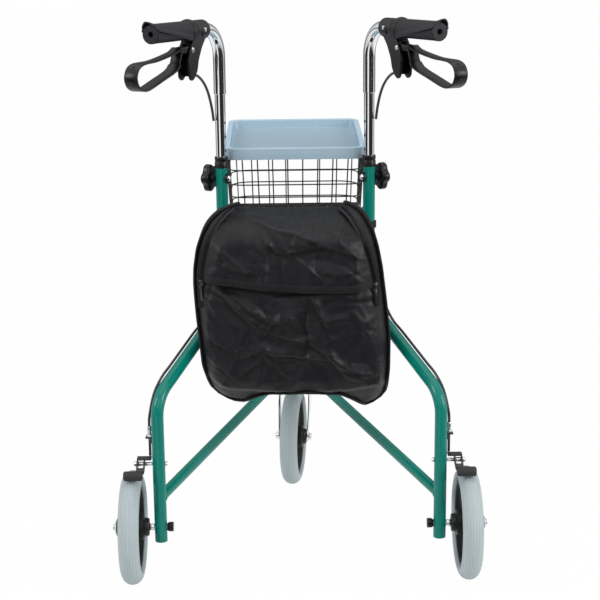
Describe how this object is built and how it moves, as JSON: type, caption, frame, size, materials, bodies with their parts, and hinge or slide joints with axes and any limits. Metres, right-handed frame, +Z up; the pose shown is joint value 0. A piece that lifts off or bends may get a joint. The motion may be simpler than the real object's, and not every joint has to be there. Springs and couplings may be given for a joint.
{
  "type": "three-wheeled folding rollator",
  "caption": "Folding tri-wheel walking aid: splayed painted tube frames on a steering head, braked rear wheels, castor front wheel, chromed handles, wire basket, tray and zip bag.",
  "frame": {"origin": "on the ground, under the middle of the rollator's bounding box", "axes": "+Z up, +Y forward towards the castor wheel, +X to the user's right"},
  "size_m": [0.6622, 0.6695, 0.9727],
  "materials": {
    "green_paint": "smooth gloss enamel",
    "chrome": "bright plated",
    "zinc_steel": "bright zinc plated",
    "black_plastic": "fine moulded texture",
    "black_rubber": "matt",
    "black_steel": "black powder coat",
    "grey_tyre": "matt grey rubber",
    "tray_plastic": "satin moulded plastic",
    "bag_fabric": "woven nylon"
  },
  "bodies": {
    "head": {"head_tube": "green_paint", "lower_hinge_plate": "green_paint", "upper_hinge_plate": "green_paint", "head_cap": "black_plastic", "lower_castor_bearing": "zinc_steel", "upper_castor_bearing": "zinc_steel", "left_hinge_pin": "zinc_steel", "right_hinge_pin": "zinc_steel", "bag": "bag_fabric"},
    "castor": {"castor_stem": "zinc_steel", "castor_fork": "chrome", "front_axle": "zinc_steel"},
    "front_wheel": {"front_tyre": "grey_tyre", "front_hub": "black_plastic"},
    "basket": {"basket": "black_steel"},
    "tray": {"tray": "tray_plastic"},
    "left_frame": {"left_main_tube": "green_paint", "left_upper_arm": "green_paint", "left_hinge_post": "green_paint", "left_brace": "green_paint", "left_collar": "black_plastic", "left_clamp_bolt": "black_plastic", "left_lower_cable": "black_rubber", "left_cable_stop": "black_steel", "left_brake_bolt": "zinc_steel", "left_axle": "zinc_steel", "left_axle_knob": "black_plastic"},
    "left_wheel": {"left_tyre": "grey_tyre", "left_hub": "black_plastic"},
    "left_handle": {"left_handle_stem": "chrome", "left_grip": "black_rubber", "left_brake_housing": "black_plastic", "left_upper_cable": "black_rubber"},
    "left_lever": {"left_brake_lever": "black_plastic"},
    "left_brake": {"left_brake_arm": "black_steel", "left_brake_shoe": "black_rubber"},
    "left_knob": {"left_star_knob": "black_plastic"},
    "left_stay": {"left_stay_link": "black_steel"},
    "right_frame": {"right_main_tube": "green_paint", "right_upper_arm": "green_paint", "right_hinge_post": "green_paint", "right_brace": "green_paint", "right_collar": "black_plastic", "right_clamp_bolt": "black_plastic", "right_lower_cable": "black_rubber", "right_cable_stop": "black_steel", "right_brake_bolt": "zinc_steel", "right_axle": "zinc_steel", "right_axle_knob": "black_plastic"},
    "right_wheel": {"right_tyre": "grey_tyre", "right_hub": "black_plastic"},
    "right_handle": {"right_handle_stem": "chrome", "right_grip": "black_rubber", "right_brake_housing": "black_plastic", "right_upper_cable": "black_rubber"},
    "right_lever": {"right_brake_lever": "black_plastic"},
    "right_brake": {"right_brake_arm": "black_steel", "right_brake_shoe": "black_rubber"},
    "right_knob": {"right_star_knob": "black_plastic"},
    "right_stay": {"right_stay_link": "black_steel"}
  },
  "joints": [
    {"name": "left_fold", "type": "hinge", "parent": "head", "child": "left_frame", "pos_m": [-0.02, 0.25016, 0.4], "axis": [0, 0, 1], "range_deg": [0, 21.5], "deforming": ["bag"]},
    {"name": "right_fold", "type": "hinge", "parent": "head", "child": "right_frame", "pos_m": [0.02, 0.25016, 0.4], "axis": [0, 0, 1], "range_deg": [-21.5, 0]},
    {"name": "castor_swivel", "type": "hinge", "parent": "head", "child": "castor", "pos_m": [0, 0.28516, 0.25], "axis": [0, 0, 1], "continuous": true},
    {"name": "front_wheel_roll", "type": "hinge", "parent": "castor", "child": "front_wheel", "pos_m": [-0.00696, 0.23564, 0.1], "axis": [0.9903, -0.1392, 0], "continuous": true},
    {"name": "basket_lift", "type": "slide", "parent": "head", "child": "basket", "axis": [0, 0, 1], "range_m": [0, 0.12]},
    {"name": "tray_lift", "type": "slide", "parent": "basket", "child": "tray", "axis": [0, 0, 1], "range_m": [0, 0.08]},
    {"name": "left_wheel_roll", "type": "hinge", "parent": "left_frame", "child": "left_wheel", "pos_m": [-0.29516, -0.23484, 0.1], "axis": [1, 0, 0], "continuous": true},
    {"name": "left_handle_height", "type": "slide", "parent": "left_frame", "child": "left_handle", "axis": [0, 0, 1], "range_m": [-0.0508, 0.0508]},
    {"name": "left_lever_squeeze", "type": "hinge", "parent": "left_handle", "child": "left_lever", "pos_m": [-0.18609, -0.10602, 0.9215], "axis": [-0.9063, 0.4226, 0], "range_deg": [0, 11], "stiffness_Nm_per_rad": 1.5, "springref_deg": -20.05},
    {"name": "left_brake_press", "type": "hinge", "parent": "left_frame", "child": "left_brake", "pos_m": [-0.24616, -0.23484, 0.218], "axis": [1, 0, 0], "range_deg": [0, 4.6]},
    {"name": "left_knob_turn", "type": "hinge", "parent": "left_frame", "child": "left_knob", "pos_m": [-0.15308, 0.01209, 0.682], "axis": [-0.9063, 0.4226, 0], "continuous": true},
    {"name": "left_stay_turn", "type": "hinge", "parent": "left_frame", "child": "left_stay", "pos_m": [-0.07494, 0.13234, 0.55393], "axis": [0, 0, 1], "range_deg": [-60, 0]},
    {"name": "right_wheel_roll", "type": "hinge", "parent": "right_frame", "child": "right_wheel", "pos_m": [0.29516, -0.23484, 0.1], "axis": [1, 0, 0], "continuous": true},
    {"name": "right_handle_height", "type": "slide", "parent": "right_frame", "child": "right_handle", "axis": [0, 0, 1], "range_m": [-0.0508, 0.0508]},
    {"name": "right_lever_squeeze", "type": "hinge", "parent": "right_handle", "child": "right_lever", "pos_m": [0.18609, -0.10602, 0.9215], "axis": [-0.9063, -0.4226, 0], "range_deg": [0, 11], "stiffness_Nm_per_rad": 1.5, "springref_deg": -20.05},
    {"name": "right_brake_press", "type": "hinge", "parent": "right_frame", "child": "right_brake", "pos_m": [0.24616, -0.23484, 0.218], "axis": [1, 0, 0], "range_deg": [0, 4.6]},
    {"name": "right_knob_turn", "type": "hinge", "parent": "right_frame", "child": "right_knob", "pos_m": [0.15308, 0.01209, 0.682], "axis": [0.9063, 0.4226, 0], "continuous": true},
    {"name": "right_stay_turn", "type": "hinge", "parent": "right_frame", "child": "right_stay", "pos_m": [0.07494, 0.13234, 0.55393], "axis": [0, 0, 1], "range_deg": [0, 60]}
  ],
  "couplings": [
    {"joint": "right_fold", "follows": "left_fold", "ratio": -1},
    {"joint": "left_stay_turn", "follows": "left_fold", "ratio": -2.777},
    {"joint": "left_brake_press", "follows": "left_lever_squeeze", "ratio": 0.409},
    {"joint": "right_stay_turn", "follows": "left_fold", "ratio": 2.777},
    {"joint": "right_brake_press", "follows": "right_lever_squeeze", "ratio": 0.409}
  ]
}
